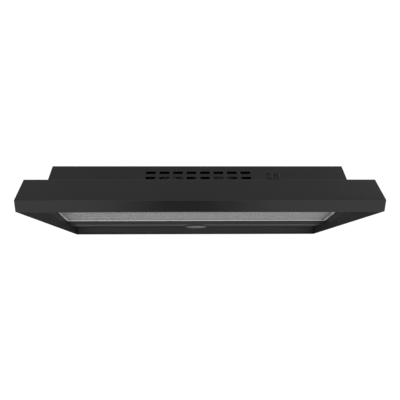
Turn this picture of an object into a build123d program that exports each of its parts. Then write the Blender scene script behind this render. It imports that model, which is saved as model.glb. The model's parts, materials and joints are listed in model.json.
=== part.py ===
from build123d import *

import os
from math import acos, cos, radians, sin, tan

# Under cabinet range hood, 30 inch class, sheet steel, millimetres.
# Frame: +X to the right, +Y to the wall, +Z up. The origin is the centre of the four cabinet screw holes, on the
# flat top face. Profiles are drawn in two hood measures: depth forward from the wall, height above the base.

# ---- driving dimensions: shell ----
WIDTH = 759.0
DEPTH = 444.5
HEIGHT = 152.4
SHEET = 1.0
BEND = 1.6
TOP_DEPTH = 250.0
FACE_ANGLE = 30.3  # upper sloped face, from vertical
SHELF_HEIGHT = 75.0
SHELF_FRONT_DEPTH = 409.0
SHELF_FRONT_HEIGHT = 74.5
NOSE_HEIGHT = 21.8
LIP_DEPTH = 433.2
HEM_WIDTH = 10.0
HEM_RISE = 6.0

# ---- cabinet screws, vents and switches ----
SCREW_SPACING_X = 660.0
SCREW_SPACING_Y = 178.0
SCREW_HOLE_R = 2.75
VENT_COUNT = 8
VENT_PITCH = 34.8
VENT_SIZE = (25.5, 9.0)
VENT_ROWS = (25.1, 44.3)  # down the sloped face from the top edge
SWITCH_X = {"fan": 183.0, "light": 201.0}
SWITCH_DROP = 38.4
BEZEL_SIZE = (15.0, 23.0)
BEZEL_PROUD = 2.0
CUTOUT_SIZE = (13.0, 20.2)
ROCKER_TILT = 10.0
ROCKER_R = 9.12
ROCKER_WIDTH = 10.4
PIVOT_DROP = 3.0  # rocker pivot under the sloped face

# ---- rear structure and lamp ----
LAMP_PANEL_HEIGHT = 21.5
LAMP_PANEL_DEPTH = 85.0
RAIL_TIP_DEPTH = 118.0
LAMP_DEPTH = 40.0
LAMP_R = 33.0
LAMP_DROP = 4.7
KNOCKOUT_SIZE = (254.0, 83.0)
KNOCKOUT_HEIGHT = 103.0
CABLE_X = 280.0
CABLE_HEIGHT = 122.0
BUSHING_R = 8.0

# ---- filter ----
FILTER_SIZE = (752.0, 267.0)
FILTER_THICK = 8.0
FILTER_SLOPE = 8.3
FILTER_REAR_DEPTH = 104.0
FILTER_REAR_HEIGHT = 24.13
FRAME_SIDE = 7.5
FRAME_REAR = 22.0
FRAME_FRONT = 14.0
FRAME_WALL = 0.8
RING_X = 190.0
RING_WIRE_R = 1.1
RUNNING_GAP = 0.05  # radial clearance of every turning pin

# ---- blower and duct ----
WHEEL_DEPTH = 112.0
WHEEL_HEIGHT = 98.0
WHEEL_R = 40.0
BLADE_COUNT = 24
SHAFT_R = 4.0
MOTOR_R = 36.0
DECK_HEIGHT = 149.9
CRADLE_SCREW_PITCH = 48.0
OUTLET_REAR = 50.0
OUTLET_FRONT = 132.0
SCROLL_INNER_X = 38.0
SCROLL_OUTER_X = 126.0
SCROLL_START_R = 47.0
SCROLL_END_R = 62.0
DUCT_DEPTH = 91.0
COLLAR_SIZE = (252.4, 81.0)
COLLAR_RISE = 28.0
FLAP_DEPTH = 64.0
FLAP_RISE = 14.0
ROD_R = 1.5

# ---- derived ----
HALF = WIDTH / 2
INNER_X = HALF - SHEET
WALL_Y = TOP_DEPTH / 2
BASE_Z = -HEIGHT
SHELF_REAR_DEPTH = TOP_DEPTH + (HEIGHT - SHELF_HEIGHT) * tan(radians(FACE_ANGLE))
RAIL_TIP_HEIGHT = FILTER_REAR_HEIGHT + (RAIL_TIP_DEPTH - FILTER_REAR_DEPTH) * tan(radians(FILTER_SLOPE)) - 1.3
RAIL_REAR_HEIGHT = RAIL_TIP_HEIGHT - (RAIL_TIP_DEPTH - LAMP_PANEL_DEPTH) * tan(radians(FILTER_SLOPE))


def side_plane(x):
    """Plane across the hood at x: local x is the depth from the wall, local y the height, normal to -X."""
    return Plane(origin=(x, WALL_Y, BASE_Z), x_dir=(0, -1, 0), z_dir=(-1, 0, 0))


def level(height):
    """Horizontal plane at a height above the base: local x is X, local y is minus the depth, normal up."""
    return Plane(origin=(0, WALL_Y, BASE_Z + height), x_dir=(1, 0, 0), z_dir=(0, 0, 1))


def wall_plane(depth):
    """Plane parallel to the wall: local x is X, local y the height, normal forward from the wall."""
    return Plane(origin=(0, WALL_Y - depth, BASE_Z), x_dir=(1, 0, 0), z_dir=(0, -1, 0))


def point(x, depth, height):
    """Row-frame position of a hood measure."""
    return Vector(x, WALL_Y - depth, BASE_Z + height)


FACE = Plane(
    origin=point(0, TOP_DEPTH, HEIGHT),
    x_dir=(1, 0, 0),
    z_dir=(0, -cos(radians(FACE_ANGLE)), sin(radians(FACE_ANGLE))),
)
FILTER = Plane(
    origin=point(0, FILTER_REAR_DEPTH, FILTER_REAR_HEIGHT),
    x_dir=(1, 0, 0),
    z_dir=(0, sin(radians(FILTER_SLOPE)), cos(radians(FILTER_SLOPE))),
)

os.makedirs("parts", exist_ok=True)


def save(piece, name):
    """Labels a finished sub-part and writes it as one STEP file."""
    piece.part.label = name
    export_step(piece.part, f"parts/{name}.step")


def sheet_profile(path, x, side=Side.LEFT, thickness=SHEET, bend=BEND):
    """Section of a folded sheet on the plane at x: the path is one face, and side says where the other lies."""
    with BuildSketch(side_plane(x)) as profile:
        with BuildLine():
            FilletPolyline(*path, radius=bend)
            offset(amount=thickness, side=side)
        make_face()
    return profile.sketch


# ==== shell ====

outer_path = [
    (0, HEIGHT),
    (TOP_DEPTH, HEIGHT),
    (SHELF_REAR_DEPTH, SHELF_HEIGHT),
    (SHELF_FRONT_DEPTH, SHELF_FRONT_HEIGHT),
    (DEPTH, NOSE_HEIGHT),
    (LIP_DEPTH, 0),
]
hem_path = [(LIP_DEPTH - HEM_WIDTH, 0), (LIP_DEPTH - HEM_WIDTH, HEM_RISE)]

# Wrapper: top, vented sloped face, shelf, visor, undercut lip and hem, folded from one sheet.
with BuildPart() as wrapper:
    extrude(sheet_profile(outer_path + hem_path, INNER_X), amount=2 * INNER_X)
    with BuildSketch(FACE):
        with Locations(*[(0, -drop) for drop in VENT_ROWS]):
            with GridLocations(VENT_PITCH, 1, VENT_COUNT, 1):
                RectangleRounded(*VENT_SIZE, 2)
        with Locations(*[(x, -SWITCH_DROP) for x in SWITCH_X.values()]):
            Rectangle(*CUTOUT_SIZE)
    extrude(amount=2 * SHEET, both=True, mode=Mode.SUBTRACT)
    with BuildSketch(level(HEIGHT)):
        with Locations((0, -DUCT_DEPTH)):
            Rectangle(COLLAR_SIZE[0] - 2, COLLAR_SIZE[1] - 2)
            with GridLocations(COLLAR_SIZE[0] + 15, COLLAR_SIZE[1] + 15, 2, 2):
                Circle(2.0)
        with Locations((0, -TOP_DEPTH / 2)):
            with GridLocations(SCREW_SPACING_X, SCREW_SPACING_Y, 2, 2):
                Circle(SCREW_HOLE_R)
    extrude(amount=2 * SHEET, both=True, mode=Mode.SUBTRACT)
save(wrapper, "wrapper")

# Side panels: flat stepped plates that close the wrapper's ends, each with a weld flange under the top.
for name, outer_x, flange_x in (("left", -INNER_X, -INNER_X + 6), ("right", HALF, INNER_X - 6)):
    with BuildPart() as side_panel:
        with BuildSketch(side_plane(outer_x)):
            with BuildLine():
                FilletPolyline((0, 0), *outer_path, radius=BEND, close=True)
            make_face()
        extrude(amount=SHEET)
        with BuildSketch(level(HEIGHT - SHEET)):
            with Locations((flange_x, -TOP_DEPTH / 2)):
                Rectangle(12, TOP_DEPTH - 20)
        extrude(amount=-SHEET)
    save(side_panel, f"side_panel_{name}")

# Back panel: flat against the wall, with a rear duct knock-out, a cable hole and a stiffening foot.
with BuildPart() as back_panel:
    with BuildSketch(wall_plane(0)):
        with Locations((0, (HEIGHT - SHEET) / 2)):
            Rectangle(2 * INNER_X, HEIGHT - SHEET)
        with Locations((0, KNOCKOUT_HEIGHT)):
            Rectangle(*KNOCKOUT_SIZE, mode=Mode.SUBTRACT)
        with Locations((CABLE_X, CABLE_HEIGHT)):
            Circle(BUSHING_R + 3.1, mode=Mode.SUBTRACT)
    extrude(amount=SHEET)
    with BuildSketch(level(0)):
        with Locations((0, -4.5)):
            Rectangle(2 * INNER_X, 7)
    extrude(amount=SHEET)
save(back_panel, "back_panel")

# Rear duct knock-out: left in place, held by four small tabs.
with BuildPart() as rear_knockout_plate:
    with BuildSketch(wall_plane(0)):
        with Locations((0, KNOCKOUT_HEIGHT)):
            Rectangle(KNOCKOUT_SIZE[0] - 0.8, KNOCKOUT_SIZE[1] - 0.8)
            with Locations((-90, 0), (90, 0)):
                Rectangle(3, KNOCKOUT_SIZE[1])
    extrude(amount=SHEET)
save(rear_knockout_plate, "rear_knockout_plate")

# Lamp panel: shallow tray between the rail and the back panel, with a round lamp hole.
tray_front = LAMP_PANEL_DEPTH - SHEET
with BuildPart() as lamp_panel:
    tray_path = [(tray_front, 40), (tray_front, LAMP_PANEL_HEIGHT), (SHEET, LAMP_PANEL_HEIGHT), (SHEET, 40)]
    extrude(sheet_profile(tray_path, INNER_X, Side.RIGHT), amount=2 * INNER_X)
    with BuildSketch(level(LAMP_PANEL_HEIGHT)):
        with Locations((0, -LAMP_DEPTH)):
            Circle(LAMP_R - 4)
    extrude(amount=2 * SHEET, both=True, mode=Mode.SUBTRACT)
save(lamp_panel, "lamp_panel")

# Filter rail: its sloped lip carries the filter's rear edge; the web and top flange stiffen the opening.
with BuildPart() as filter_rail:
    rail_path = [
        (RAIL_TIP_DEPTH, RAIL_TIP_HEIGHT),
        (tray_front, RAIL_REAR_HEIGHT),
        (tray_front, 42),
        (tray_front - 11, 42),
    ]
    extrude(sheet_profile(rail_path, INNER_X, Side.RIGHT), amount=2 * INNER_X)
save(filter_rail, "filter_rail")

# Front bracket: an angle welded under the shelf, just ahead of the filter's front edge.
bracket_top = SHELF_HEIGHT - SHEET - 0.45
with BuildPart() as filter_front_bracket:
    extrude(sheet_profile([(387, bracket_top), (371, bracket_top), (371, 58)], 370), amount=740)
save(filter_front_bracket, "filter_front_bracket")

# Leaf clips: bent spring strips on the bracket that hold the filter's front edge.
with BuildPart() as filter_clips:
    for clip_x in (-160, 140):
        leaf_path = [(370.5, 72.5), (370.5, 70), (368.6, 66), (369.8, 59.5), (370.5, 57)]
        extrude(sheet_profile(leaf_path, clip_x + 20, thickness=0.5, bend=0.8), amount=20)
save(filter_clips, "filter_clips")

# ==== duct collar and back-draught flap ====

COLLAR_HOLES = (COLLAR_SIZE[0] + 15, COLLAR_SIZE[1] + 15, 2, 2)
flap_height = HEIGHT + FLAP_RISE + ROD_R

# Duct collar: rectangular spigot with a screwed flange, rod holes and a ledge the closed flap rests on.
with BuildPart() as duct_collar:
    with BuildSketch(level(HEIGHT)):
        with Locations((0, -DUCT_DEPTH)):
            RectangleRounded(COLLAR_SIZE[0] + 30, COLLAR_SIZE[1] + 30, 4)
            Rectangle(COLLAR_SIZE[0] - 2, COLLAR_SIZE[1] - 2, mode=Mode.SUBTRACT)
            with GridLocations(*COLLAR_HOLES):
                Circle(2.0, mode=Mode.SUBTRACT)
    extrude(amount=SHEET)
    with BuildSketch(level(HEIGHT + SHEET)):
        with Locations((0, -DUCT_DEPTH)):
            Rectangle(*COLLAR_SIZE)
            Rectangle(COLLAR_SIZE[0] - 2, COLLAR_SIZE[1] - 2, mode=Mode.SUBTRACT)
    extrude(amount=COLLAR_RISE)
    with BuildSketch(level(flap_height - 1.3)):
        with Locations((0, -(DUCT_DEPTH + COLLAR_SIZE[1] / 2 - 2))):
            Rectangle(COLLAR_SIZE[0] - 2, 2.5)
    extrude(amount=SHEET)
    with BuildSketch(side_plane(COLLAR_SIZE[0] / 2 + 1)):
        with Locations((FLAP_DEPTH, HEIGHT + FLAP_RISE)):
            Circle(ROD_R + RUNNING_GAP)
    extrude(amount=COLLAR_SIZE[0] + 2, mode=Mode.SUBTRACT)
save(duct_collar, "duct_collar")

# Collar screws: pan heads on the flange, shanks through the top sheet and the blower deck.
with BuildPart() as collar_screws:
    with Locations((0, WALL_Y - DUCT_DEPTH, SHEET)):
        with GridLocations(*COLLAR_HOLES):
            Cylinder(1.95, 5, align=(Align.CENTER, Align.CENTER, Align.MAX))
            Cylinder(3.6, 1.6, align=(Align.CENTER, Align.CENTER, Align.MIN))
    fillet(collar_screws.edges().group_by(Axis.Z)[-1], 0.8)
save(collar_screws, "collar_screws")

# Damper rod: straight pin through both ends of the collar.
with BuildPart() as damper_rod:
    with BuildSketch(side_plane(COLLAR_SIZE[0] / 2 + 1.5)):
        with Locations((FLAP_DEPTH, HEIGHT + FLAP_RISE)):
            Circle(ROD_R)
    extrude(amount=COLLAR_SIZE[0] + 3)
save(damper_rod, "damper_rod")

# Damper flap: a plate on the rod with a turned-up front edge and two knuckles pressed on the rod.
with BuildPart() as damper_flap:
    with BuildSketch(side_plane(124)):
        with BuildLine():
            Polyline(
                (FLAP_DEPTH - 10.5, flap_height),
                (129, flap_height),
                (129, flap_height + 3),
                (128.2, flap_height + 3),
                (128.2, flap_height + 0.8),
                (FLAP_DEPTH - 10.5, flap_height + 0.8),
                close=True,
            )
        make_face()
    extrude(amount=248)
    for knuckle_x in (-80, 88):
        with BuildSketch(side_plane(knuckle_x)):
            with Locations((FLAP_DEPTH, flap_height - 2)):
                Rectangle(7, 4)
            with Locations((FLAP_DEPTH, HEIGHT + FLAP_RISE)):
                Circle(ROD_R, mode=Mode.SUBTRACT)
        extrude(amount=8)
save(damper_flap, "damper_flap")

# ==== blower ====


def scroll_outline(x, inset):
    """Scroll section: an even spiral about the wheel from the tongue round to the rear wall, open upwards."""
    front = OUTLET_FRONT - inset
    rear = OUTLET_REAR + inset
    start = acos((front - WHEEL_DEPTH) / (SCROLL_START_R - inset))
    steps = 9
    spiral = []
    for step in range(steps + 1):
        share = step / steps
        angle = start - share * (start + radians(180))
        radius = SCROLL_START_R + share * (SCROLL_END_R - SCROLL_START_R) - inset
        spiral.append((WHEEL_DEPTH + radius * cos(angle), WHEEL_HEIGHT + radius * sin(angle)))
    with BuildSketch(side_plane(x)) as outline:
        with BuildLine():
            Polyline((rear, WHEEL_HEIGHT), (rear, DECK_HEIGHT), (front, DECK_HEIGHT), spiral[0])
            Spline(*spiral)
        make_face()
    return outline.sketch


# Deck: plate under the top sheet that the scrolls and the motor hang from.
with BuildPart() as blower_deck:
    with BuildSketch(level(DECK_HEIGHT)):
        with Locations((0, -DUCT_DEPTH)):
            Rectangle(COLLAR_SIZE[0] + 30, COLLAR_SIZE[1] + 30)
            with GridLocations(*COLLAR_HOLES):
                Circle(2.0, mode=Mode.SUBTRACT)
            for side in (-1, 1):
                with Locations((side * (SCROLL_INNER_X + SCROLL_OUTER_X) / 2, 0)):
                    Rectangle(86, 79, mode=Mode.SUBTRACT)
        with Locations((0, -WHEEL_DEPTH)):
            with GridLocations(1, CRADLE_SCREW_PITCH, 1, 2):
                Circle(2.0, mode=Mode.SUBTRACT)
    extrude(amount=HEIGHT - SHEET - DECK_HEIGHT)
save(blower_deck, "blower_deck")

# Blade: thin forward-curved arc near the wheel's rim, drawn at the wheel's centre.
with BuildSketch() as blade:
    with BuildLine():
        ThreePointArc((WHEEL_R - 7, 0), (WHEEL_R - 3.2, 1.4), (WHEEL_R - 0.4, 4))
        offset(amount=0.8, side=Side.LEFT)
    make_face()

for name, side in (("left", -1), ("right", 1)):
    x_high = max(side * SCROLL_INNER_X, side * SCROLL_OUTER_X)
    depth = SCROLL_OUTER_X - SCROLL_INNER_X

    # Scroll housing: sheet wrapper and two side plates, open at the top, with an inlet hole in each side plate.
    with BuildPart() as scroll:
        extrude(scroll_outline(x_high, 0), amount=depth)
        extrude(scroll_outline(x_high - SHEET, SHEET), amount=depth - 2 * SHEET, mode=Mode.SUBTRACT)
        with BuildSketch(side_plane(x_high + 1)):
            with Locations((WHEEL_DEPTH, WHEEL_HEIGHT)):
                Circle(34)
        extrude(amount=depth + 2, mode=Mode.SUBTRACT)
    save(scroll, f"scroll_{name}")

    # Inlet ring: rolled bell mouth around the outer inlet hole.
    with BuildPart() as inlet_ring:
        with BuildSketch(side_plane(side * SCROLL_OUTER_X)) as mouth:
            with Locations((WHEEL_DEPTH, WHEEL_HEIGHT)):
                Circle(41)
                Circle(33, mode=Mode.SUBTRACT)
        extrude(amount=-side * 5)
        outer_edges = inlet_ring.faces().sort_by(Axis.X)[-1 if side > 0 else 0].edges()
        fillet(outer_edges, 3)
    save(inlet_ring, f"inlet_ring_{name}")

    # Blower wheel: hub disc on the motor side, rim on the inlet side, curved blades between.
    with BuildPart() as blower_wheel:
        hub_x = side * (SCROLL_INNER_X + 6)
        rim_x = side * (SCROLL_OUTER_X - 6)
        with BuildSketch(side_plane(hub_x)):
            with Locations((WHEEL_DEPTH, WHEEL_HEIGHT)):
                Circle(WHEEL_R)
                Circle(SHAFT_R, mode=Mode.SUBTRACT)
        extrude(amount=-side * 2)
        with BuildSketch(side_plane(hub_x + side * 2)):
            with Locations((WHEEL_DEPTH, WHEEL_HEIGHT)):
                Circle(9)
                Circle(SHAFT_R, mode=Mode.SUBTRACT)
        extrude(amount=-side * 14)
        with BuildSketch(side_plane(rim_x)):
            with Locations((WHEEL_DEPTH, WHEEL_HEIGHT)):
                Circle(WHEEL_R)
                Circle(WHEEL_R - 8, mode=Mode.SUBTRACT)
        extrude(amount=side * 2)
        with BuildSketch(side_plane(hub_x)):
            with Locations((WHEEL_DEPTH, WHEEL_HEIGHT)):
                with PolarLocations(0, BLADE_COUNT):
                    add(blade.sketch)
        extrude(amount=-side * (abs(rim_x - hub_x)))
    save(blower_wheel, f"blower_wheel_{name}")

# Shaft and rotor core: they turn with both wheels.
with BuildPart() as motor_shaft:
    with BuildSketch(side_plane(SCROLL_OUTER_X - 5)):
        with Locations((WHEEL_DEPTH, WHEEL_HEIGHT)):
            Circle(SHAFT_R)
    extrude(amount=2 * (SCROLL_OUTER_X - 5))
    chamfer(motor_shaft.edges().filter_by(GeomType.CIRCLE), 0.6)
save(motor_shaft, "motor_shaft")

ROTOR_R = 20.4
with BuildPart() as motor_rotor:
    with BuildSketch(side_plane(17)):
        with Locations((WHEEL_DEPTH, WHEEL_HEIGHT)):
            Circle(ROTOR_R)
            Circle(SHAFT_R, mode=Mode.SUBTRACT)
    extrude(amount=34)
save(motor_rotor, "motor_rotor")

# Stator: laminated ring with six winding bulges on each face.
with BuildPart() as motor_stator:
    with BuildSketch(side_plane(15)):
        with Locations((WHEEL_DEPTH, WHEEL_HEIGHT)):
            Circle(MOTOR_R - 1)
            Circle(ROTOR_R + 0.6, mode=Mode.SUBTRACT)
    extrude(amount=30)
    with BuildSketch(side_plane(22)):
        with Locations((WHEEL_DEPTH, WHEEL_HEIGHT)):
            with PolarLocations(28, 6):
                Circle(5.5)
    extrude(amount=44)
save(motor_stator, "motor_stator")

with BuildPart() as motor_can:
    with BuildSketch(side_plane(26)):
        with Locations((WHEEL_DEPTH, WHEEL_HEIGHT)):
            Circle(MOTOR_R)
            Circle(MOTOR_R - 1, mode=Mode.SUBTRACT)
    extrude(amount=52)
save(motor_can, "motor_can")

# End bells: vented covers with a boss for the bearing.
BEARING_R = 7.0
for name, side in (("left", -1), ("right", 1)):
    with BuildPart() as end_bell:
        with BuildSketch(side_plane(side * 26)):
            with Locations((WHEEL_DEPTH, WHEEL_HEIGHT)):
                Circle(MOTOR_R)
                Circle(BEARING_R, mode=Mode.SUBTRACT)
                with PolarLocations(24, 8):
                    Circle(3.5, mode=Mode.SUBTRACT)
        extrude(amount=-side * 2)
        with BuildSketch(side_plane(side * 28)):
            with Locations((WHEEL_DEPTH, WHEEL_HEIGHT)):
                Circle(BEARING_R + 3)
                Circle(BEARING_R, mode=Mode.SUBTRACT)
        extrude(amount=-side * 6)
    save(end_bell, f"motor_end_bell_{name}")

# Bearings: sintered sleeves the shaft runs in.
with BuildPart() as motor_bearings:
    for bearing_x in (-26, 34):
        with BuildSketch(side_plane(bearing_x)):
            with Locations((WHEEL_DEPTH, WHEEL_HEIGHT)):
                Circle(BEARING_R)
                Circle(SHAFT_R + RUNNING_GAP, mode=Mode.SUBTRACT)
        extrude(amount=8)
save(motor_bearings, "motor_bearings")

# Isolator and cradle: a rubber ring round the can, held in a steel band that hangs from the deck.
with BuildPart() as motor_isolator:
    with BuildSketch(side_plane(9)):
        with Locations((WHEEL_DEPTH, WHEEL_HEIGHT)):
            Circle(MOTOR_R + 2)
            Circle(MOTOR_R, mode=Mode.SUBTRACT)
    extrude(amount=18)
save(motor_isolator, "motor_isolator")

CRADLE_R = MOTOR_R + 3.5
with BuildPart() as motor_cradle:
    with BuildSketch(side_plane(8)):
        with Locations((WHEEL_DEPTH, WHEEL_HEIGHT)):
            Circle(CRADLE_R)
        with Locations((WHEEL_DEPTH - 32, DECK_HEIGHT - 20), (WHEEL_DEPTH + 32, DECK_HEIGHT - 20)):
            Rectangle(1.5, 40)
        with Locations((WHEEL_DEPTH, DECK_HEIGHT - 0.75)):
            Rectangle(65.5, 1.5)
        with Locations((WHEEL_DEPTH, WHEEL_HEIGHT)):
            Circle(MOTOR_R + 2, mode=Mode.SUBTRACT)
    extrude(amount=16)
    with BuildSketch(level(DECK_HEIGHT)):
        with Locations((0, -WHEEL_DEPTH)):
            with GridLocations(1, CRADLE_SCREW_PITCH, 1, 2):
                Circle(2.0)
    extrude(amount=-2, mode=Mode.SUBTRACT)
save(motor_cradle, "motor_cradle")

# Cradle screws: heads under the cradle's top plate, shanks up through the deck.
with BuildPart() as cradle_screws:
    with Locations(point(0, WHEEL_DEPTH, DECK_HEIGHT - 1.5)):
        with GridLocations(1, CRADLE_SCREW_PITCH, 1, 2):
            Cylinder(1.95, 2.9, align=(Align.CENTER, Align.CENTER, Align.MIN))
            Cylinder(3.6, 1.8, align=(Align.CENTER, Align.CENTER, Align.MAX))
    fillet(cradle_screws.edges().group_by(Axis.Z)[0], 0.8)
save(cradle_screws, "cradle_screws")

# Run capacitor: oval can under the top sheet, in a strap.
CAPACITOR_X = -190
with BuildPart() as capacitor:
    with BuildSketch(wall_plane(60)):
        with Locations((CAPACITOR_X, 131)):
            SlotOverall(50, 28)
    extrude(amount=55)
    with BuildSketch(wall_plane(115)):
        with Locations((CAPACITOR_X - 8, 131), (CAPACITOR_X + 8, 131)):
            Rectangle(0.8, 6.3)
    extrude(amount=8)
save(capacitor, "capacitor")

with BuildPart() as capacitor_strap:
    with BuildSketch(wall_plane(80)):
        with Locations((CAPACITOR_X, 131)):
            SlotOverall(52, 30)
        with Locations((CAPACITOR_X, HEIGHT - SHEET - 7)):
            Rectangle(74, 14)
        with Locations((CAPACITOR_X, HEIGHT - SHEET - 8)):
            Rectangle(75, 14, mode=Mode.SUBTRACT)
        with Locations((CAPACITOR_X, 131)):
            SlotOverall(52, 30)
            SlotOverall(50, 28, mode=Mode.SUBTRACT)
        with Locations((CAPACITOR_X - 25.5, 141), (CAPACITOR_X + 25.5, 141)):
            Rectangle(1, 20)
    extrude(amount=14)
save(capacitor_strap, "capacitor_strap")

# ==== wiring ====

BOX_LEFT = 230.0
BOX_WIDTH = 100.0
BOX_BOTTOM = 97.0
BOX_DEPTH = 56.0
box_x = BOX_LEFT + BOX_WIDTH / 2
box_top = HEIGHT - SHEET
box_rise = box_top - BOX_BOTTOM

COVER_SCREW_PITCH = 70.0
COVER_SCREW_DEPTH = 44.0
SCREW_R = 1.55

# Junction box: folded trough against the back panel and the top sheet; the looms start at its walls.
with BuildPart() as junction_box:
    with BuildSketch(wall_plane(SHEET)):
        with Locations((box_x, BOX_BOTTOM + box_rise / 2)):
            Rectangle(BOX_WIDTH, box_rise)
        with Locations((box_x, BOX_BOTTOM + SHEET + box_rise / 2)):
            Rectangle(BOX_WIDTH - 2 * SHEET, box_rise, mode=Mode.SUBTRACT)
    extrude(amount=BOX_DEPTH - 2 * SHEET)
    with BuildSketch(level(BOX_BOTTOM)):
        with Locations((box_x, -COVER_SCREW_DEPTH)):
            with GridLocations(COVER_SCREW_PITCH, 1, 2, 1):
                Circle(SCREW_R + RUNNING_GAP)
    extrude(amount=SHEET, mode=Mode.SUBTRACT)
save(junction_box, "junction_box")

# Cover: closes the box's front, with a turned-back foot under the box.
with BuildPart() as junction_cover:
    with BuildSketch(wall_plane(BOX_DEPTH - SHEET)):
        with Locations((box_x, BOX_BOTTOM + box_rise / 2)):
            Rectangle(BOX_WIDTH, box_rise)
    extrude(amount=SHEET)
    with BuildSketch(level(BOX_BOTTOM)):
        with Locations((box_x, -(BOX_DEPTH - 12))):
            Rectangle(BOX_WIDTH, 24)
        with Locations((box_x, -COVER_SCREW_DEPTH)):
            with GridLocations(COVER_SCREW_PITCH, 1, 2, 1):
                Circle(SCREW_R + RUNNING_GAP, mode=Mode.SUBTRACT)
    extrude(amount=-SHEET)
save(junction_cover, "junction_cover")

# Cover screws: pan heads under the cover's foot, shanks up into the box's floor.
with BuildPart() as junction_screws:
    with Locations(point(box_x, COVER_SCREW_DEPTH, BOX_BOTTOM - SHEET)):
        with GridLocations(COVER_SCREW_PITCH, 1, 2, 1):
            Cylinder(SCREW_R, 5, align=(Align.CENTER, Align.CENTER, Align.MIN))
            Cylinder(3.0, 1.6, align=(Align.CENTER, Align.CENTER, Align.MAX))
    fillet(junction_screws.edges().group_by(Axis.Z)[0], 0.7)
save(junction_screws, "junction_screws")

# Cable bushing: snap-in plastic sleeve in the back panel's cable hole, flanged on the inside only.
with BuildPart() as cable_bushing:
    with BuildSketch(wall_plane(0)):
        with Locations((CABLE_X, CABLE_HEIGHT)):
            Circle(BUSHING_R + 3)
    extrude(amount=12)
    with BuildSketch(wall_plane(SHEET)):
        with Locations((CABLE_X, CABLE_HEIGHT)):
            Circle(BUSHING_R + 6)
    extrude(amount=2)
    with BuildSketch(wall_plane(0)):
        with Locations((CABLE_X, CABLE_HEIGHT)):
            Circle(BUSHING_R)
    extrude(amount=12, mode=Mode.SUBTRACT)
save(cable_bushing, "cable_bushing")

# Terminal block: three screw ways between barriers, on the floor of the box.
with BuildPart() as terminal_block:
    with BuildSketch(level(BOX_BOTTOM + SHEET)):
        with Locations((box_x, -35)):
            Rectangle(46, 18)
    extrude(amount=6)
    with BuildSketch(level(BOX_BOTTOM + SHEET + 6)):
        with Locations((box_x, -35)):
            with GridLocations(14, 1, 4, 1):
                Rectangle(2, 18)
    extrude(amount=6)
    with BuildSketch(level(BOX_BOTTOM + SHEET + 6)):
        with Locations((box_x, -35)):
            with GridLocations(14, 9, 3, 2):
                Circle(3)
    extrude(amount=2.5)
save(terminal_block, "terminal_block")


def loom(points, diameter=5.0):
    """Wires bundled in a round sleeve: straight runs joined by tangent arcs, as large as the runs allow."""
    radii = []
    for before, corner, after in zip(points, points[1:], points[2:]):
        incoming = corner - before
        outgoing = after - corner
        turn = radians(incoming.get_angle(outgoing))
        radii.append(0.45 * min(incoming.length, outgoing.length) / tan(turn / 2))
    with BuildLine(mode=Mode.PRIVATE) as route:
        FilletPolyline(*points, radius=[min(r, 60.0) for r in radii])
    path = route.wire()
    with BuildSketch(Plane(origin=path @ 0, z_dir=path % 0), mode=Mode.PRIVATE) as section:
        Circle(diameter / 2)
    return section.sketch, path


LOOMS = {
    "loom_switches": [
        point(BOX_LEFT, 40, 118),
        point(218, 40, 118),
        point(206, 70, 117),
        point(199, 120, 112),
        point(196, 180, 106),
        point(192, 225, 102),
        point(191, 246, 105.5),
    ],
    "loom_motor": [
        point(BOX_LEFT, 30, 108),
        point(190, 30, 108),
        point(110, 28, 106),
        point(40, 28, 104),
        point(6, 36, 101),
        point(0, WHEEL_DEPTH - CRADLE_R - 20, WHEEL_HEIGHT),
        point(0, WHEEL_DEPTH - CRADLE_R - 0.1, WHEEL_HEIGHT),
    ],
    "loom_lamp": [
        point(260, 26, BOX_BOTTOM),
        point(260, 26, 76),
        point(244, 30, 56),
        point(190, 36, 47),
        point(125, 40, 41),
        point(70, 40, 31),
        point(LAMP_R - 4.1, LAMP_DEPTH, 31),
    ],
}
for name, route_points in LOOMS.items():
    with BuildPart() as loom_tube:
        loom_section, loom_path = loom(route_points)
        sweep(loom_section, path=loom_path)
    save(loom_tube, name)

# ==== switches ====

BODY_SIZE = (12.8, 20.0)
BODY_DROP = 16.0


def across_face(x, tilt=0.0):
    """Plane through the switch row at x: local x is up the sloped face, local y out of it, origin at the pivot."""
    origin = FACE.from_local_coords((x, -SWITCH_DROP, -PIVOT_DROP))
    return Plane(origin=origin, x_dir=FACE.y_dir.rotate(Axis.X, tilt), z_dir=FACE.x_dir)


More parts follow.
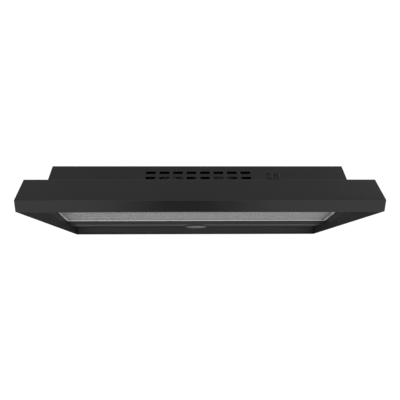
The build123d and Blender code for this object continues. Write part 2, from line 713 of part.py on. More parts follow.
for name, switch_x in SWITCH_X.items():
    # Switch body: bezel on the sheet and a hollow box behind it, with bores for the rocker's pins.
    with BuildPart() as switch_body:
        with BuildSketch(FACE.offset(BEZEL_PROUD)):
            with Locations((switch_x, -SWITCH_DROP)):
                RectangleRounded(*BEZEL_SIZE, 1.5)
        extrude(amount=-BEZEL_PROUD)
        fillet(switch_body.faces().sort_by(Axis((0, 0, 0), FACE.z_dir))[-1].edges(), 1.2)
        with BuildSketch(FACE):
            with Locations((switch_x, -SWITCH_DROP)):
                Rectangle(*BODY_SIZE)
        extrude(amount=-BODY_DROP)
        with BuildSketch(FACE.offset(BEZEL_PROUD)):
            with Locations((switch_x, -SWITCH_DROP)):
                Rectangle(ROCKER_WIDTH + 0.4, 18.0)
        extrude(amount=-BEZEL_PROUD - 0.5, mode=Mode.SUBTRACT)
        with BuildSketch(FACE.offset(-0.5)):
            with Locations((switch_x, -SWITCH_DROP)):
                Rectangle(ROCKER_WIDTH + 0.8, 18.9)
        extrude(amount=-12, mode=Mode.SUBTRACT)
        with BuildSketch(across_face(switch_x - 6.2)):
            Circle(1 + RUNNING_GAP)
        extrude(amount=12.4, mode=Mode.SUBTRACT)
    save(switch_body, f"{name}_switch_body")

    # Rocker: ends curved about the pivot, a shallow V on top, two raised pips, and pins at both sides.
    rest_tilt = 0.0 if name == "fan" else ROCKER_TILT
    with BuildPart() as rocker:
        with BuildSketch(across_face(switch_x - ROCKER_WIDTH / 2, rest_tilt)):
            Circle(ROCKER_R)
            with BuildLine():
                Polyline((-9.2, -4.5), (9.2, -4.5), (9.2, 6.0), (0, 4.8), (-9.2, 6.0), close=True)
            make_face(mode=Mode.INTERSECT)
        extrude(amount=ROCKER_WIDTH)
        fillet(rocker.edges().filter_by(Axis.X).group_by(Axis.Z)[-1], 0.5)
        with BuildSketch(across_face(switch_x - ROCKER_WIDTH / 2 - 0.9)):
            Circle(1)
        extrude(amount=ROCKER_WIDTH + 1.8)
    save(rocker, f"{name}_rocker")

# Terminals: brass blades out of the back of each switch body.
with BuildPart() as switch_terminals:
    for switch_x, count in ((SWITCH_X["fan"], 3), (SWITCH_X["light"], 2)):
        with BuildSketch(FACE.offset(-BODY_DROP)):
            with Locations((switch_x, -SWITCH_DROP)):
                with GridLocations(1, 6, 1, count):
                    Rectangle(4.8, 0.8)
        extrude(amount=-7)
save(switch_terminals, "switch_terminals")

# ==== lamp ====

lamp_low = LAMP_PANEL_HEIGHT - LAMP_DROP
lamp_axis = Axis(point(0, LAMP_DEPTH, 0), (0, 0, 1))


def lamp_plane():
    """Vertical plane through the lamp's axis: local x is the radius, local y the height above the base."""
    return Plane(origin=point(0, LAMP_DEPTH, 0), x_dir=(1, 0, 0), z_dir=(0, -1, 0))


# Bezel: round trim under the lamp panel, with a softened lower edge.
with BuildPart() as lamp_bezel:
    with BuildSketch(lamp_plane()):
        with BuildLine():
            Polyline((29.5, lamp_low), (31, lamp_low))
            RadiusArc((31, lamp_low), (LAMP_R, lamp_low + 2), -2)
            Polyline(
                (LAMP_R, lamp_low + 2),
                (LAMP_R, LAMP_PANEL_HEIGHT),
                (27.5, LAMP_PANEL_HEIGHT),
                (27.5, LAMP_PANEL_HEIGHT - 1.2),
                (29.5, LAMP_PANEL_HEIGHT - 1.2),
                (29.5, lamp_low),
            )
        make_face()
    revolve(axis=lamp_axis)
save(lamp_bezel, "lamp_bezel")

# Lens: shallow frosted dish inside the bezel.
with BuildPart() as lamp_lens:
    with BuildSketch(lamp_plane()):
        with BuildLine():
            ThreePointArc((0, lamp_low - 0.2), (15, lamp_low + 0.1), (29.3, lamp_low + 1))
            Polyline((29.3, lamp_low + 1), (29.3, lamp_low + 3), (0, lamp_low + 3), (0, lamp_low - 0.2))
        make_face()
    revolve(axis=lamp_axis)
save(lamp_lens, "lamp_lens")

# Housing: metal cup above the panel that cools the board, with a rim on the panel's upper face.
with BuildPart() as lamp_housing:
    with BuildSketch(lamp_plane()):
        with BuildLine():
            Polyline(
                (28, LAMP_PANEL_HEIGHT + 0.1),
                (28.8, LAMP_PANEL_HEIGHT + 0.1),
                (28.8, 37.5),
                (0, 37.5),
                (0, 36.5),
                (28, 36.5),
                close=True,
            )
        make_face()
    revolve(axis=lamp_axis)
    with BuildSketch(level(LAMP_PANEL_HEIGHT + SHEET)):
        with Locations((0, -LAMP_DEPTH)):
            Circle(33)
            Circle(28.8, mode=Mode.SUBTRACT)
    extrude(amount=SHEET)
save(lamp_housing, "lamp_housing")

# Board: round circuit board with a ring of light-emitting chips on its lower face and a driver brick above.
with BuildPart() as lamp_board:
    with BuildSketch(level(26)):
        with Locations((0, -LAMP_DEPTH)):
            Circle(27.5)
    extrude(amount=1.6)
    with BuildSketch(level(26)):
        with Locations((0, -LAMP_DEPTH)):
            with PolarLocations(17, 10):
                Rectangle(2.8, 2.8)
    extrude(amount=-0.7)
    with BuildSketch(level(27.6)):
        with Locations((0, -LAMP_DEPTH)):
            Rectangle(22, 16)
    extrude(amount=7)
save(lamp_board, "lamp_board")

# ==== grease filter ====

filter_length = FILTER_SIZE[1]
frame_centre = (0, -filter_length / 2)

# Frame: aluminium channel folded round the edge, open inwards, with wider faces at the rear and the front.
with BuildPart() as filter_frame:
    with BuildSketch(FILTER):
        with Locations(frame_centre):
            RectangleRounded(*FILTER_SIZE, 3)
    extrude(amount=FILTER_THICK)
    with BuildSketch(FILTER):
        with Locations((0, -FRAME_REAR)):
            Rectangle(
                FILTER_SIZE[0] - 2 * FRAME_SIDE,
                filter_length - FRAME_REAR - FRAME_FRONT,
                align=(Align.CENTER, Align.MAX),
            )
    extrude(amount=FILTER_THICK, mode=Mode.SUBTRACT)
    with BuildSketch(FILTER.offset(FRAME_WALL)):
        with Locations(frame_centre):
            Rectangle(FILTER_SIZE[0] - 2 * FRAME_WALL, filter_length - 2 * FRAME_WALL)
    extrude(amount=FILTER_THICK - 2 * FRAME_WALL, mode=Mode.SUBTRACT)
    bottom_rim = filter_frame.faces().sort_by(Axis((0, 0, 0), FILTER.z_dir))[0].outer_wire().edges()
    fillet(bottom_rim, 0.5)
save(filter_frame, "filter_frame")

# Filter layers: two expanded-metal sheets with a fibre pad between them, held in the channel.
layer_thick = 0.8
pad_thick = FILTER_THICK - 2 * FRAME_WALL - 2 * layer_thick
layers = {
    "filter_mesh_lower": (FRAME_WALL, layer_thick),
    "filter_pad": (FRAME_WALL + layer_thick, pad_thick),
    "filter_mesh_upper": (FRAME_WALL + layer_thick + pad_thick, layer_thick),
}
for name, (start, thick) in layers.items():
    with BuildPart() as layer:
        with BuildSketch(FILTER.offset(start)):
            with Locations(frame_centre):
                Rectangle(FILTER_SIZE[0] - 2 * FRAME_WALL - 0.4, filter_length - 2 * FRAME_WALL - 0.4)
        extrude(amount=thick)
    save(layer, name)

# Ring brackets: riveted plates near the filter's front edge, each with a barrel for its pull ring's bar.
BARREL_R = 2.2
BRACKET_THICK = 0.8
bar_y = -(filter_length - 9)
bar_drop = BRACKET_THICK + BARREL_R


def across_filter(x):
    """Plane across the filter at x, with its origin on the pull ring's bar: local x forward, local y up."""
    origin = FILTER.from_local_coords((x, bar_y, -bar_drop))
    return Plane(origin=origin, x_dir=(0, -1, 0), z_dir=(-1, 0, 0))


with BuildPart() as ring_brackets:
    for ring_x in (-RING_X, RING_X):
        with BuildSketch(FILTER):
            with Locations((ring_x, bar_y + 0.5)):
                RectangleRounded(34, 9, 1.5)
        extrude(amount=-BRACKET_THICK)
        with BuildSketch(across_filter(ring_x + 5)):
            Circle(BARREL_R)
            with Locations((0, BARREL_R / 2 + 0.2)):
                Rectangle(2 * BARREL_R, BARREL_R + 0.4)
        extrude(amount=10)
    with BuildSketch(FILTER):
        with Locations(frame_centre):
            Rectangle(*FILTER_SIZE)
    extrude(amount=2, mode=Mode.SUBTRACT)
    with BuildSketch(across_filter(RING_X + 20)):
        Circle(RING_WIRE_R + RUNNING_GAP)
    extrude(amount=2 * RING_X + 40, mode=Mode.SUBTRACT)
save(ring_brackets, "ring_brackets")

# Rivets: two low domes on each bracket.
with BuildPart() as bracket_rivets:
    for ring_x in (-RING_X, RING_X):
        with BuildSketch(FILTER.offset(-BRACKET_THICK)):
            with Locations((ring_x - 12, bar_y + 0.5), (ring_x + 12, bar_y + 0.5)):
                Circle(1.8)
        extrude(amount=-0.9)
    fillet(bracket_rivets.edges().group_by(Axis((0, 0, 0), FILTER.z_dir))[0], 0.6)
save(bracket_rivets, "bracket_rivets")

# Pull rings: bent wire, a straight bar through the barrel and a round finger loop hanging below it.
for name, ring_x in (("left", -RING_X), ("right", RING_X)):
    with BuildPart() as pull_ring:
        bar = FILTER.from_local_coords((ring_x, bar_y, -bar_drop))
        ring_plane = Plane(origin=bar, x_dir=(1, 0, 0), z_dir=(0, -1, 0))
        with BuildLine(ring_plane) as ring_path:
            Line((0, 0), (8, 0))
            RadiusArc((8, 0), (11, -3), 3)
            Line((11, -3), (11, -9))
            RadiusArc((11, -9), (0, -20), 11)
            RadiusArc((0, -20), (-11, -9), 11)
            Line((-11, -9), (-11, -3))
            RadiusArc((-11, -3), (-8, 0), 3)
            Line((-8, 0), (0, 0))
        with BuildSketch(Plane(origin=bar, x_dir=(0, 1, 0), z_dir=(1, 0, 0))):
            Circle(RING_WIRE_R)
        sweep(path=ring_path.line)
    save(pull_ring, f"pull_ring_{name}")
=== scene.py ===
import json
import math

import bpy
from mathutils import Matrix, Vector


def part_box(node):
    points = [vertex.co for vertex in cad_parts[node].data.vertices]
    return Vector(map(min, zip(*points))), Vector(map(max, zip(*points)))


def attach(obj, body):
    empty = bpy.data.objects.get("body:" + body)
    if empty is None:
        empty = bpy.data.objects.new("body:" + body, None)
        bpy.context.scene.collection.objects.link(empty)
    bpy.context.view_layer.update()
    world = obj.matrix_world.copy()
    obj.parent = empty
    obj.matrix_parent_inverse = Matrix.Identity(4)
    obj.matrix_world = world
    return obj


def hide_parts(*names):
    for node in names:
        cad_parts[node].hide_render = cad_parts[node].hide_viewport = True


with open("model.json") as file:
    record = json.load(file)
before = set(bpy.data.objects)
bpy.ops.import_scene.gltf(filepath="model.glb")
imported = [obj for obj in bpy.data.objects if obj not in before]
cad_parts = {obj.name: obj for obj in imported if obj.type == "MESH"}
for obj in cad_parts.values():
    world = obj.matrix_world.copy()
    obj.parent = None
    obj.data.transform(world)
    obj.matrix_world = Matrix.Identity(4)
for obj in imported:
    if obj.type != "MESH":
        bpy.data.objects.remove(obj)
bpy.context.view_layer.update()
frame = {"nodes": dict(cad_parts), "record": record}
nodes = frame["nodes"]

# ---------------------------------------------------------------- node tree helpers


def new_material(name):
    """Empty material with a Principled shader; returns the material, its node tree and the shader."""
    mat = bpy.data.materials.new(name)
    mat.use_nodes = True
    tree = mat.node_tree
    tree.nodes.clear()
    out = tree.nodes.new("ShaderNodeOutputMaterial")
    shader = tree.nodes.new("ShaderNodeBsdfPrincipled")
    tree.links.new(shader.outputs["BSDF"], out.inputs["Surface"])
    return mat, tree, shader


def add_node(tree, kind, **values):
    """Node of that kind; values set its properties, or its inputs where the key is an input's name."""
    node = tree.nodes.new(kind)
    for key, value in values.items():
        if key in node.inputs:
            node.inputs[key].default_value = value
        else:
            setattr(node, key, value)
    return node


def object_coords(tree, stretch=(1, 1, 1), turn=(0, 0, 0)):
    """Object coordinates in metres, scaled per axis."""
    coords = tree.nodes.new("ShaderNodeTexCoord")
    mapping = tree.nodes.new("ShaderNodeMapping")
    mapping.inputs["Scale"].default_value = stretch
    mapping.inputs["Rotation"].default_value = turn
    tree.links.new(coords.outputs["Object"], mapping.inputs["Vector"])
    return mapping.outputs["Vector"]


def noise(tree, vector, per_metre, detail=2.0, roughness=0.5):
    """Noise with about per_metre cells in each metre."""
    node = add_node(tree, "ShaderNodeTexNoise", Scale=per_metre, Detail=detail, Roughness=roughness)
    tree.links.new(vector, node.inputs["Vector"])
    return node.outputs["Fac"]


def remap(tree, value, low, high, new_low, new_high):
    """Linear remap, clamped at both ends."""
    node = tree.nodes.new("ShaderNodeMapRange")
    node.inputs["From Min"].default_value = low
    node.inputs["From Max"].default_value = high
    node.inputs["To Min"].default_value = new_low
    node.inputs["To Max"].default_value = new_high
    tree.links.new(value, node.inputs["Value"])
    return node.outputs["Result"]


def mix_colour(tree, factor, first, second):
    """Colour between first and second, each a fixed colour or a socket."""
    node = tree.nodes.new("ShaderNodeMix")
    node.data_type = "RGBA"
    tree.links.new(factor, node.inputs["Factor"])
    for socket, colour in ((node.inputs[6], first), (node.inputs[7], second)):
        if isinstance(colour, bpy.types.NodeSocket):
            tree.links.new(colour, socket)
        else:
            socket.default_value = (*colour, 1)
    return node.outputs[2]


def math_node(tree, operation, first, second=None):
    """One Math node on sockets or numbers."""
    node = tree.nodes.new("ShaderNodeMath")
    node.operation = operation
    for socket, value in zip(node.inputs, (first, second)):
        if isinstance(value, bpy.types.NodeSocket):
            tree.links.new(value, socket)
        elif value is not None:
            socket.default_value = value
    return node.outputs[0]


def bump(tree, shader, height, depth, strength=1.0):
    """Bump of that depth in metres on the shader's normal, over any bump that is there already."""
    node = add_node(tree, "ShaderNodeBump", Strength=strength, Distance=depth)
    tree.links.new(height, node.inputs["Height"])
    before = shader.inputs["Normal"].links
    if before:
        tree.links.new(before[0].from_socket, node.inputs["Normal"])
    tree.links.new(node.outputs["Normal"], shader.inputs["Normal"])


# ---------------------------------------------------------------- materials


def enamel(name, dark, light, rough, specular=0.5):
    """Baked enamel: fine orange peel, slow tone drift and uneven gloss."""
    mat, tree, shader = new_material(name)
    at = object_coords(tree)
    drift = noise(tree, at, 7, 3)
    tone = remap(tree, drift, 0.3, 0.7, 0, 1)
    tree.links.new(mix_colour(tree, tone, dark, light), shader.inputs["Base Color"])
    haze = math_node(tree, "ADD", remap(tree, noise(tree, at, 26, 4), 0.3, 0.7, -0.035, 0.035), rough)
    tree.links.new(haze, shader.inputs["Roughness"])
    shader.inputs["IOR"].default_value = 1.5
    shader.inputs["Specular IOR Level"].default_value = specular
    bump(tree, shader, noise(tree, at, 620, 1.5), 0.00003, 0.5)
    bump(tree, shader, noise(tree, at, 9, 1), 0.0004, 0.25)
    return mat


def matt_underside(mat, extra_rough, specular):
    """Flat paint on the faces that point straight down, over the gloss of the rest."""
    tree = mat.node_tree
    gloss = tree.nodes["Principled BSDF"]
    flat = add_node(tree, "ShaderNodeBsdfPrincipled")
    flat.inputs["Specular IOR Level"].default_value = specular
    rougher = math_node(tree, "ADD", gloss.inputs["Roughness"].links[0].from_socket, extra_rough)
    tree.links.new(rougher, flat.inputs["Roughness"])
    tree.links.new(gloss.inputs["Base Color"].links[0].from_socket, flat.inputs["Base Color"])
    tree.links.new(gloss.inputs["Normal"].links[0].from_socket, flat.inputs["Normal"])
    facing = tree.nodes.new("ShaderNodeSeparateXYZ")
    tree.links.new(tree.nodes.new("ShaderNodeTexCoord").outputs["Normal"], facing.inputs["Vector"])
    mix = tree.nodes.new("ShaderNodeMixShader")
    tree.links.new(remap(tree, facing.outputs["Z"], -0.95, -0.85, 1, 0), mix.inputs["Fac"])
    tree.links.new(gloss.outputs["BSDF"], mix.inputs[1])
    tree.links.new(flat.outputs["BSDF"], mix.inputs[2])
    tree.links.new(mix.outputs["Shader"], tree.nodes["Material Output"].inputs["Surface"])


def galvanised(name, dark, light, rough):
    """Zinc-coated sheet: crystal spangle 8 to 15 mm across and fine rolling lines."""
    mat, tree, shader = new_material(name)
    at = object_coords(tree)
    cells = add_node(tree, "ShaderNodeTexVoronoi", Scale=110.0, Randomness=1.0)
    tree.links.new(at, cells.inputs["Vector"])
    grey = tree.nodes.new("ShaderNodeSeparateColor")
    tree.links.new(cells.outputs["Color"], grey.inputs["Color"])
    stain = noise(tree, at, 22, 4)
    spangle = remap(tree, grey.outputs[0], 0, 1, 0, 0.6)
    tone = math_node(tree, "ADD", spangle, remap(tree, stain, 0.3, 0.7, 0, 0.4))
    tree.links.new(mix_colour(tree, tone, dark, light), shader.inputs["Base Color"])
    gloss = math_node(tree, "ADD", remap(tree, grey.outputs[1], 0, 1, -0.07, 0.07), rough)
    tree.links.new(gloss, shader.inputs["Roughness"])
    shader.inputs["Metallic"].default_value = 1.0
    lines = noise(tree, object_coords(tree, (1, 60, 60)), 22, 2)
    bump(tree, shader, lines, 0.00003, 0.3)
    return mat


def bright_metal(name, dark, light, rough, grain=(1, 1, 1), grain_scale=900, depth=0.00002):
    """Plated or rolled metal: drawn grain along the axis that grain leaves unstretched, and faint smudges."""
    mat, tree, shader = new_material(name)
    at = object_coords(tree)
    lines = noise(tree, object_coords(tree, grain), grain_scale, 3, 0.6)
    tone = remap(tree, lines, 0.3, 0.7, 0, 1)
    tree.links.new(mix_colour(tree, tone, dark, light), shader.inputs["Base Color"])
    smudge = remap(tree, noise(tree, at, 45, 3), 0.35, 0.7, -0.05, 0.08)
    tree.links.new(math_node(tree, "ADD", smudge, rough), shader.inputs["Roughness"])
    shader.inputs["Metallic"].default_value = 1.0
    bump(tree, shader, lines, depth, 0.4)
    return mat


def moulded(name, dark, light, rough, grain_scale=1500, depth=0.00003):
    """Moulded plastic or rubber with a spark-eroded grain."""
    mat, tree, shader = new_material(name)
    at = object_coords(tree)
    tone = remap(tree, noise(tree, at, 60, 3), 0.3, 0.7, 0, 1)
    tree.links.new(mix_colour(tree, tone, dark, light), shader.inputs["Base Color"])
    grain = noise(tree, at, grain_scale, 2)
    tree.links.new(remap(tree, grain, 0.3, 0.7, rough - 0.05, rough + 0.05), shader.inputs["Roughness"])
    shader.inputs["IOR"].default_value = 1.49
    bump(tree, shader, grain, depth, 0.5)
    return mat


def fibre_pad(name):
    """Pressed aluminium fibre: strands tangled in three directions, with painted shade in the gaps between
    them.
    """
    mat, tree, shader = new_material(name)
    strands = []
    for turn, scale in ((0.5, 420), (-0.7, 380), (1.9, 300)):
        at = object_coords(tree, (1, 7, 7), (0, 0, turn))
        strands.append(noise(tree, at, scale, 3, 0.6))
    tangle = math_node(tree, "MAXIMUM", strands[0], strands[1])
    tangle = math_node(tree, "MAXIMUM", tangle, strands[2])
    level = remap(tree, tangle, 0.45, 0.72, 0, 1)
    # Painted shade: away from the strands the colour falls to near black, standing in for the shade in the
    # gaps of the pad.
    colour = mix_colour(tree, level, (0.1, 0.1, 0.102), (0.55, 0.55, 0.555))
    tree.links.new(colour, shader.inputs["Base Color"])
    tree.links.new(remap(tree, level, 0, 1, 0.75, 0.45), shader.inputs["Roughness"])
    shader.inputs["Metallic"].default_value = 0.7
    bump(tree, shader, level, 0.0006, 0.8)
    return mat


def windings(name):
    """Varnished copper windings and laminations: fine rings across the motor's axis."""
    mat, tree, shader = new_material(name)
    rings = add_node(tree, "ShaderNodeTexWave", Scale=260.0, Distortion=0.6)
    rings.bands_direction = "X"
    tree.links.new(object_coords(tree), rings.inputs["Vector"])
    colour = mix_colour(tree, rings.outputs["Fac"], (0.12, 0.06, 0.03), (0.42, 0.2, 0.09))
    tree.links.new(colour, shader.inputs["Base Color"])
    tree.links.new(remap(tree, rings.outputs["Fac"], 0, 1, 0.3, 0.5), shader.inputs["Roughness"])
    shader.inputs["Metallic"].default_value = 0.8
    bump(tree, shader, rings.outputs["Fac"], 0.0003, 0.6)
    return mat


def braided(name, dark, light):
    """Woven sleeve: a fine diagonal weave."""
    mat, tree, shader = new_material(name)
    weave = []
    for turn in (0.785, -0.785):
        wave = add_node(tree, "ShaderNodeTexWave", Scale=420.0)
        tree.links.new(object_coords(tree, (1, 1, 1), (turn, turn, turn)), wave.inputs["Vector"])
        weave.append(wave.outputs["Fac"])
    pattern = math_node(tree, "MULTIPLY", weave[0], weave[1])
    tree.links.new(mix_colour(tree, pattern, dark, light), shader.inputs["Base Color"])
    tree.links.new(remap(tree, pattern, 0, 1, 0.75, 0.55), shader.inputs["Roughness"])
    bump(tree, shader, pattern, 0.0002, 0.7)
    return mat


def frosted_lens(name):
    """Opal lens, milky with a fine frosted surface."""
    mat, tree, shader = new_material(name)
    at = object_coords(tree)
    milk = remap(tree, noise(tree, at, 90, 2), 0.3, 0.7, 0, 1)
    colour = mix_colour(tree, milk, (0.135, 0.138, 0.138), (0.155, 0.158, 0.156))
    tree.links.new(colour, shader.inputs["Base Color"])
    frost = noise(tree, at, 2400, 2)
    tree.links.new(remap(tree, frost, 0.3, 0.7, 0.32, 0.45), shader.inputs["Roughness"])
    shader.inputs["Subsurface Weight"].default_value = 0.3
    shader.inputs["Subsurface Scale"].default_value = 0.002
    bump(tree, shader, frost, 0.00002, 0.6)
    return mat


shell = enamel("shell_enamel", (0.0105, 0.0105, 0.0105), (0.013, 0.013, 0.013), 0.31)
matt_underside(shell, 0.44, 0.16)
rear_enamel = enamel("rear_enamel", (0.024, 0.024, 0.024), (0.029, 0.029, 0.029), 0.42)
# Painted light: a copy of the black enamel with its base colour raised, so the lower band of the back panel
# and the knockout plate read lighter as if catching more light.
back_enamel_painted_light = enamel("back_enamel_painted_light", (0.052, 0.052, 0.052), (0.06, 0.06, 0.06), 0.42)
side_enamel = enamel("side_enamel", (0.021, 0.021, 0.021), (0.025, 0.025, 0.025), 0.5, 0.2)
rail_enamel = enamel("rail_enamel", (0.012, 0.012, 0.012), (0.016, 0.016, 0.016), 0.7, 0.15)
zinc = galvanised("galvanised_sheet", (0.33, 0.34, 0.36), (0.56, 0.57, 0.59), 0.42)
wheel_zinc = galvanised("wheel_sheet", (0.28, 0.29, 0.31), (0.46, 0.47, 0.49), 0.46)
plated = bright_metal("plated_steel", (0.48, 0.48, 0.49), (0.66, 0.66, 0.67), 0.24)
rolled_aluminium = bright_metal(
    "rolled_aluminium", (0.86, 0.86, 0.865), (0.95, 0.95, 0.955), 0.5, grain=(1, 40, 40), grain_scale=60
)
mesh_aluminium = bright_metal("mesh_aluminium", (0.7, 0.7, 0.705), (0.88, 0.88, 0.885), 0.42, grain_scale=500)
cast_aluminium = bright_metal(
    "housing_aluminium", (0.42, 0.42, 0.43), (0.55, 0.55, 0.56), 0.48, grain_scale=300
)
bronze = bright_metal("sintered_bronze", (0.42, 0.28, 0.12), (0.6, 0.43, 0.2), 0.4, grain_scale=1200)
pad_fibre = fibre_pad("pad_fibre")
copper = windings("varnished_windings")
rubber = moulded("isolator_rubber", (0.018, 0.018, 0.018), (0.028, 0.028, 0.027), 0.72, 900, 0.00006)
sleeve = braided("loom_sleeve", (0.01, 0.01, 0.01), (0.045, 0.045, 0.047))
pale_plastic = moulded("pale_plastic", (0.55, 0.55, 0.52), (0.66, 0.66, 0.62), 0.45)
switch_black = moulded("switch_plastic", (0.007, 0.007, 0.0075), (0.011, 0.011, 0.0115), 0.2)
rocker_black = moulded("rocker_plastic", (0.008, 0.008, 0.0085), (0.013, 0.013, 0.0135), 0.24)
lamp_trim = moulded("lamp_trim", (0.05, 0.05, 0.052), (0.075, 0.075, 0.078), 0.34)
lens = frosted_lens("opal_lens")
board_mask = moulded("board_mask", (0.66, 0.67, 0.64), (0.76, 0.77, 0.74), 0.4)

BY_SLOT = {
    "black_enamel": shell,
    "galvanised_steel": zinc,
    "bright_steel": plated,
    "wheel_steel": wheel_zinc,
    "winding_steel": copper,
    "bearing_bronze": bronze,
    "isolator_rubber": rubber,
    "loom_sleeve": sleeve,
    "moulded_plastic": pale_plastic,
    "switch_plastic": switch_black,
    "rocker_plastic": rocker_black,
    "lamp_trim": lamp_trim,
    "frosted_lens": lens,
    "lamp_metal": cast_aluminium,
    "circuit_board": board_mask,
    "filter_aluminium": rolled_aluminium,
    "filter_mesh": mesh_aluminium,
    "filter_fibre": pad_fibre,
}
BY_NODE = {
    "lamp_panel": rear_enamel,
    "back_panel": back_enamel_painted_light,
    "rear_knockout_plate": back_enamel_painted_light,
    "filter_rail": rail_enamel,
    "side_panel_left": side_enamel,
    "side_panel_right": side_enamel,
}

for row in frame["record"]["subparts"]:
    node = nodes[row["node"]]
    material = BY_NODE.get(row["node"], BY_SLOT[row["material_slot"]])
    node.data.materials.clear()
    node.data.materials.append(material)


# ---------------------------------------------------------------- pieces


def mesh_piece(name, verts, faces, material, body):
    """Mesh object made from points in the row frame."""
    data = bpy.data.meshes.new(name)
    data.from_pydata(verts, [], faces)
    data.validate()
    data.update()
    piece = bpy.data.objects.new(name, data)
    bpy.context.scene.collection.objects.link(piece)
    data.materials.append(material)
    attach(piece, body)
    return piece


# Expanded mesh, metres: zigzag strands that touch at their peaks, with shallow creases across the sheet.
DIAMOND = (0.0105, 0.0053)  # cell size along the width and along the slope
STRAND = (0.00095, 0.00045)  # width and thickness
STRAND_LAP = 0.00012  # how far the two peaks of a cell lie above and below the sheet's middle
CREASE_PITCH = 0.0212
CREASE_DEPTH = 0.00055
SHEET_RISE = 0.0004  # from the layer's lower face to the strands' middle
SIDE_TRIM = 0.0105  # the mesh ends this far inside the layer's edge


def expanded_mesh(name, replaced, body):
    """Mesh of bent strands in the place of one flat filter layer."""
    low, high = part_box(replaced)
    points = [v.co for v in nodes[replaced].data.vertices]
    rear = min(points, key=lambda p: p.z)
    front = min(points, key=lambda p: p.y)
    forward = Vector((0, front.y - rear.y, front.z - rear.z))
    length = forward.length
    forward.normalize()
    up = Vector((0, forward.z, -forward.y))
    origin = Vector((0, rear.y, rear.z)) + up * SHEET_RISE
    half = (high.x - low.x) / 2 - SIDE_TRIM
    rows = int(length / DIAMOND[1]) + 1
    steps = int(2 * half / (DIAMOND[0] / 2))
    verts, faces = [], []
    for r in range(rows):
        centre = (r + 0.25) * DIAMOND[1]
        for k in range(steps + 1):
            x = -half + k * DIAMOND[0] / 2
            sign = 1 if (k + r) % 2 == 0 else -1
            along = min(max(centre + sign * (DIAMOND[1] / 2 - STRAND[0] / 2), 0), length)
            phase = (along / CREASE_PITCH) % 1
            crease = CREASE_DEPTH * (abs(2 * phase - 1) - 0.5)
            middle = origin + forward * along + up * (crease + sign * STRAND_LAP)
            for side, lift in ((-1, -1), (1, -1), (1, 1), (-1, 1)):
                p = middle + forward * (side * STRAND[0] / 2) + up * (lift * STRAND[1] / 2)
                verts.append((x, p.y, p.z))
        base = r * (steps + 1) * 4
        for k in range(steps):
            a, b = base + k * 4, base + (k + 1) * 4
            for i in range(4):
                j = (i + 1) % 4
                faces.append((a + i, a + j, b + j, b + i))
    piece = mesh_piece(name, verts, faces, mesh_aluminium, body)
    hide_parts(replaced)


expanded_mesh("filter_mesh_lower_expanded", "filter_mesh_lower", "filter")
expanded_mesh("filter_mesh_upper_expanded", "filter_mesh_upper", "filter")

# ---------------------------------------------------------------- stage, lights and camera


def emission_world():
    """White backdrop for the camera, and a dimmer soft sky for the light it gives."""
    world = bpy.data.worlds.new("studio")
    bpy.context.scene.world = world
    world.use_nodes = True
    tree = world.node_tree
    tree.nodes.clear()
    out = tree.nodes.new("ShaderNodeOutputWorld")
    seen = add_node(tree, "ShaderNodeBackground", Strength=1.05)
    lit = add_node(tree, "ShaderNodeBackground", Strength=0.42)
    seen.inputs["Color"].default_value = (1, 1, 1, 1)
    lit.inputs["Color"].default_value = (1, 1, 1, 1)
    path = tree.nodes.new("ShaderNodeLightPath")
    mix = tree.nodes.new("ShaderNodeMixShader")
    tree.links.new(path.outputs["Is Camera Ray"], mix.inputs["Fac"])
    tree.links.new(lit.outputs["Background"], mix.inputs[1])
    tree.links.new(seen.outputs["Background"], mix.inputs[2])
    tree.links.new(mix.outputs["Shader"], out.inputs["Surface"])


def stage_plane(name, corners, material):
    """Flat four-cornered sheet that belongs to the stage."""
    data = bpy.data.meshes.new(name)
    data.from_pydata(corners, [], [(0, 1, 2, 3)])
    data.materials.append(material)
    plane = bpy.data.objects.new(name, data)
    bpy.context.scene.collection.objects.link(plane)
    return plane


def soft_light(name, size, power, place, aim):
    """Rectangular soft box, hidden from the camera."""
    data = bpy.data.lights.new(name, "AREA")
    data.shape = "RECTANGLE"
    data.size, data.size_y = size
    data.energy = power
    lamp = bpy.data.objects.new(name, data)
    lamp.location = place
    lamp.rotation_mode = "QUATERNION"
    lamp.rotation_quaternion = (Vector(aim) - Vector(place)).to_track_quat("-Z", "Y")
    lamp.visible_camera = False
    bpy.context.scene.collection.objects.link(lamp)


emission_world()
floor_mat, floor_tree, floor_shader = new_material("pale_floor")
floor_shader.inputs["Base Color"].default_value = (0.88, 0.88, 0.88, 1)
floor_shader.inputs["Roughness"].default_value = 0.9
floor_shader.inputs["Emission Color"].default_value = (1, 1, 1, 1)
camera_ray = floor_tree.nodes.new("ShaderNodeLightPath").outputs["Is Camera Ray"]
floor_tree.links.new(remap(floor_tree, camera_ray, 0, 1, 0.4, 0.64), floor_shader.inputs["Emission Strength"])
FLOOR_Z = -1.25
FLOOR_HALF = 30
floor_corners = [(x * FLOOR_HALF, y * FLOOR_HALF, FLOOR_Z) for x, y in ((-1, -1), (1, -1), (1, 1), (-1, 1))]
stage_plane("floor", floor_corners, floor_mat)

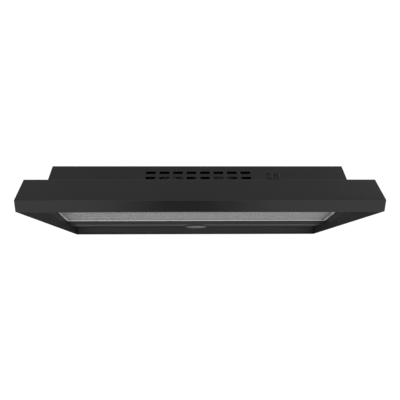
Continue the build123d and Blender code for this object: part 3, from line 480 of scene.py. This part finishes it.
# Black card in front of the hood, upright with a foot: the darker middle of the lip is its reflection.
CARD_X = (-0.32, 0.26)
CARD_Y = -1.2
CARD_FOOT_Y = -0.8
CARD_Z = (-1.24, -0.45)
card_mat, card_tree, card_shader = new_material("black_card")
card_shader.inputs["Base Color"].default_value = (0.01, 0.01, 0.01, 1)
card_shader.inputs["Roughness"].default_value = 1.0
card_base = [(x, CARD_Y, CARD_Z[0]) for x in CARD_X]
card_top = [(x, CARD_Y, CARD_Z[1]) for x in reversed(CARD_X)]
card_toe = [(x, CARD_FOOT_Y, CARD_Z[0]) for x in reversed(CARD_X)]
card = stage_plane("black_card", card_base + card_top, card_mat)
card_foot = stage_plane("black_card_foot", card_base + card_toe, card_mat)
for sheet in (card, card_foot):
    sheet.visible_camera = False
    sheet.visible_diffuse = False
    sheet.visible_shadow = False

soft_light("front_box", (2.4, 0.7), 8, (0.0, -2.6, 0.05), (0, 0, -0.1))
soft_light("rim_box", (0.8, 0.8), 4, (1.82, 0.37, 1.5), (0, 0, -0.1))

FRAME_PX = 400
FOCAL_PX = 366.7
SHIFT_PX = 8.5
SENSOR_MM = 36
CAMERA_PLACE = Vector((-0.0317, -1.0510, -0.2788))
YAW, PITCH, ROLL = (math.radians(a) for a in (0.887, 11.477, -0.251))
camera_data = bpy.data.cameras.new("camera")
camera_data.sensor_width = SENSOR_MM
camera_data.lens = SENSOR_MM * FOCAL_PX / FRAME_PX
camera_data.shift_x = SHIFT_PX / FRAME_PX
camera = bpy.data.objects.new("camera", camera_data)
bpy.context.scene.collection.objects.link(camera)
forward = Vector((math.sin(YAW) * math.cos(PITCH), math.cos(YAW) * math.cos(PITCH), math.sin(PITCH)))
level_right = Vector((math.cos(YAW), -math.sin(YAW), 0))
level_up = level_right.cross(forward)
right = math.cos(ROLL) * level_right + math.sin(ROLL) * level_up
above = -math.sin(ROLL) * level_right + math.cos(ROLL) * level_up
turn = Matrix((right, above, -forward)).transposed().to_4x4()
camera.matrix_world = Matrix.Translation(CAMERA_PLACE) @ turn
bpy.context.scene.camera = camera
bpy.context.scene.view_settings.view_transform = "Standard"
